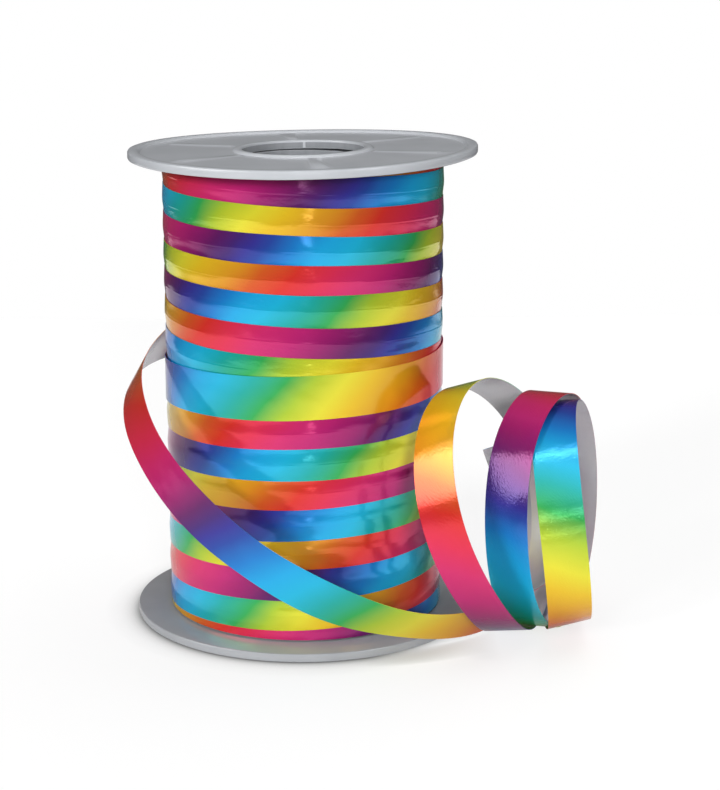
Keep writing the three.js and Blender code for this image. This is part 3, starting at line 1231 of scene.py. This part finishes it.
# %% Pieces and solids
for piece, node in (
    (flange_top, "spool_flange_top"),
    (flange_bottom, "spool_flange_bottom"),
    (core, "spool_core"),
    (turns_upper, "ribbon_winding"),
    (turns_lower, "ribbon_winding"),
    (turns_older, "ribbon_winding"),
    (loose_end, "ribbon_loose"),
):
    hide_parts(node)
    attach(piece, "root")
    print(piece.name, "stands for", node)

# %% [markdown]
# ## Paper
# The spool stands on white paper. In a picture like this the paper is lit until it is nearly as white
# as the background, and only close to the lower flange does a soft shade stay. So the paper glows for
# the camera, and ambient occlusion takes the glow away near the spool. For the light that bounces off
# it, the paper is pale with hardly any glow. The paper is only the stage.

# %% Paper
PAPER_SIZE = 0.66
PAPER_PLACE = (0, 0.02, -0.0001)
bpy.ops.object.select_all(action="DESELECT")
bpy.ops.mesh.primitive_plane_add(size=PAPER_SIZE, location=PAPER_PLACE)
paper = bpy.context.object
paper.name = "paper"
bpy.ops.object.transform_apply(location=True)
print("the paper is", PAPER_SIZE, "m wide")

# %% White paper
PAPER_WHITE, SEEN_DARKER = 0.70, 0.45
SHADE_REACH = 8 * MM
SHADE_SOFTNESS = 3
SHADE_ENDS_AT = 0.03
GLOW, HIDDEN_GLOW = 0.69, 0.05

white_paper, tree, shader = new_material("white paper", roughness=0.9)
shader.inputs["Specular IOR Level"].default_value = 0
shader.inputs["Emission Color"].default_value = (1, 1, 1, 1)
seen = tree.nodes.new("ShaderNodeLightPath").outputs["Is Camera Ray"]
paper_white = math_node(tree, "MULTIPLY_ADD", seen, -SEEN_DARKER, PAPER_WHITE)
tree.links.new(paper_white, shader.inputs["Base Color"])
near_contact = tree.nodes.new("ShaderNodeAmbientOcclusion")
near_contact.inputs["Distance"].default_value = SHADE_REACH
shade = math_node(tree, "POWER", near_contact.outputs["AO"], SHADE_SOFTNESS)
shade = math_node(tree, "SUBTRACT", 1, shade)
parts = tree.nodes.new("ShaderNodeSeparateXYZ")
tree.links.new(object_place(tree), parts.inputs[0])
# Painted shade: the occlusion darkens the paper only where x is below 3 cm, so the shade stays beside
# the spool and none falls by the curls.
beside_spool = tree.nodes.new("ShaderNodeMapRange")
beside_spool.inputs["From Min"].default_value = SHADE_ENDS_AT
beside_spool.inputs["From Max"].default_value = 0
tree.links.new(parts.outputs["X"], beside_spool.inputs["Value"])
shade = math_node(tree, "MULTIPLY", shade, beside_spool.outputs[0])
clear = math_node(tree, "MULTIPLY_ADD", shade, -GLOW, GLOW)
glow = math_node(tree, "MULTIPLY_ADD", seen, clear, HIDDEN_GLOW)
tree.links.new(glow, shader.inputs["Emission Strength"])
paper.data.materials.append(white_paper)
print("nodes in the paper:", len(tree.nodes))

# %% [markdown]
# ## Room
# The camera sees a pure white background. The mirrored and diffuse rays see a dim room instead,
# a little lighter towards the front, or the glossy film would drown in white and lose its
# colours. A Mix Shader switches between the two by the kind of ray.

# %% Room
ROOM_LIGHT, FRONT_LIGHT = 0.08, 0.06
FRONT_FALL = 1.5

world = bpy.data.worlds.new("white studio")
bpy.context.scene.world = world
world.use_nodes = True
tree = world.node_tree
background = tree.nodes.new("ShaderNodeBackground")
background.inputs["Strength"].default_value = 1.0
background.inputs["Color"].default_value = (1, 1, 1, 1)
room = tree.nodes["Background"]
room.inputs["Color"].default_value = (1, 1, 1, 1)
parts = tree.nodes.new("ShaderNodeSeparateXYZ")
tree.links.new(tree.nodes.new("ShaderNodeTexCoord").outputs["Generated"], parts.inputs[0])
front = math_node(tree, "MULTIPLY", parts.outputs["Y"], -1)
front = math_node(tree, "MAXIMUM", front, 0)
front = math_node(tree, "POWER", front, FRONT_FALL)
front = math_node(tree, "MULTIPLY_ADD", front, FRONT_LIGHT, ROOM_LIGHT)
tree.links.new(front, room.inputs["Strength"])
mix = tree.nodes.new("ShaderNodeMixShader")
path = tree.nodes.new("ShaderNodeLightPath")
tree.links.new(path.outputs["Is Camera Ray"], mix.inputs[0])
tree.links.new(room.outputs[0], mix.inputs[1])
tree.links.new(background.outputs[0], mix.inputs[2])
tree.links.new(mix.outputs[0], tree.nodes["World Output"].inputs["Surface"])
print("nodes in the room:", len(tree.nodes))

# %% [markdown]
# ## Lamps
# The lamps are far soft boxes. On glossy film the place where a lamp is mirrored and the light
# that it gives are two separate things for the eye, so each lamp does just one of them: the
# windows and glints are only mirrored, and the keys, the fill and the overhead light are never
# mirrored. That way the reflections can be placed without changing how bright the colours are.

# %% Lamps
MIRRORED, GIVES_LIGHT = "only mirrored", "gives light, never mirrored"
# name, azimuth from the front, elevation, width, light given, what it does
LAMPS = [
    ("left_window", -72, 33, 44, 0.65, MIRRORED),
    ("left_key", -42, 18, 12, 0.70, GIVES_LIGHT),
    ("front_window", -6, 50, 44, 0.12, MIRRORED),
    ("front_key", 8, 14, 12, 0.68, GIVES_LIGHT),
    ("right_fill", 60, 25, 50, 0.06, GIVES_LIGHT),
    ("overhead", 150, 72, 66, 0.65, GIVES_LIGHT),
    ("front_glint", -1, 18, 7, 0.018, MIRRORED),
    ("ridge_glint", 3, 1, 8, 0.010, MIRRORED),
    ("top_glint", -24, 75, 7, 0.03, MIRRORED),
    ("right_window", 46, 30, 25, 0.16, MIRRORED),
]


def distant_softbox(name, azimuth, elevation, width, light_given, use):
    """A far soft lamp. Azimuth 0 is the front and -90 the left; all angles are in degrees."""
    lamp = bpy.data.lights.new(name, "SUN")
    lamp.angle = math.radians(width)
    lamp.energy = light_given * math.pi
    light = bpy.data.objects.new(name, lamp)
    light.visible_diffuse = use != MIRRORED
    light.visible_glossy = use != GIVES_LIGHT
    a, e = math.radians(azimuth), math.radians(elevation)
    towards = Vector((math.cos(e) * math.sin(a), -math.cos(e) * math.cos(a), math.sin(e)))
    light.rotation_euler = (-towards).to_track_quat("-Z", "Y").to_euler()
    bpy.context.scene.collection.objects.link(light)


for lamp_row in LAMPS:
    distant_softbox(*lamp_row)
bpy.context.scene.view_settings.view_transform = "Standard"
print("lamps:", len(LAMPS))
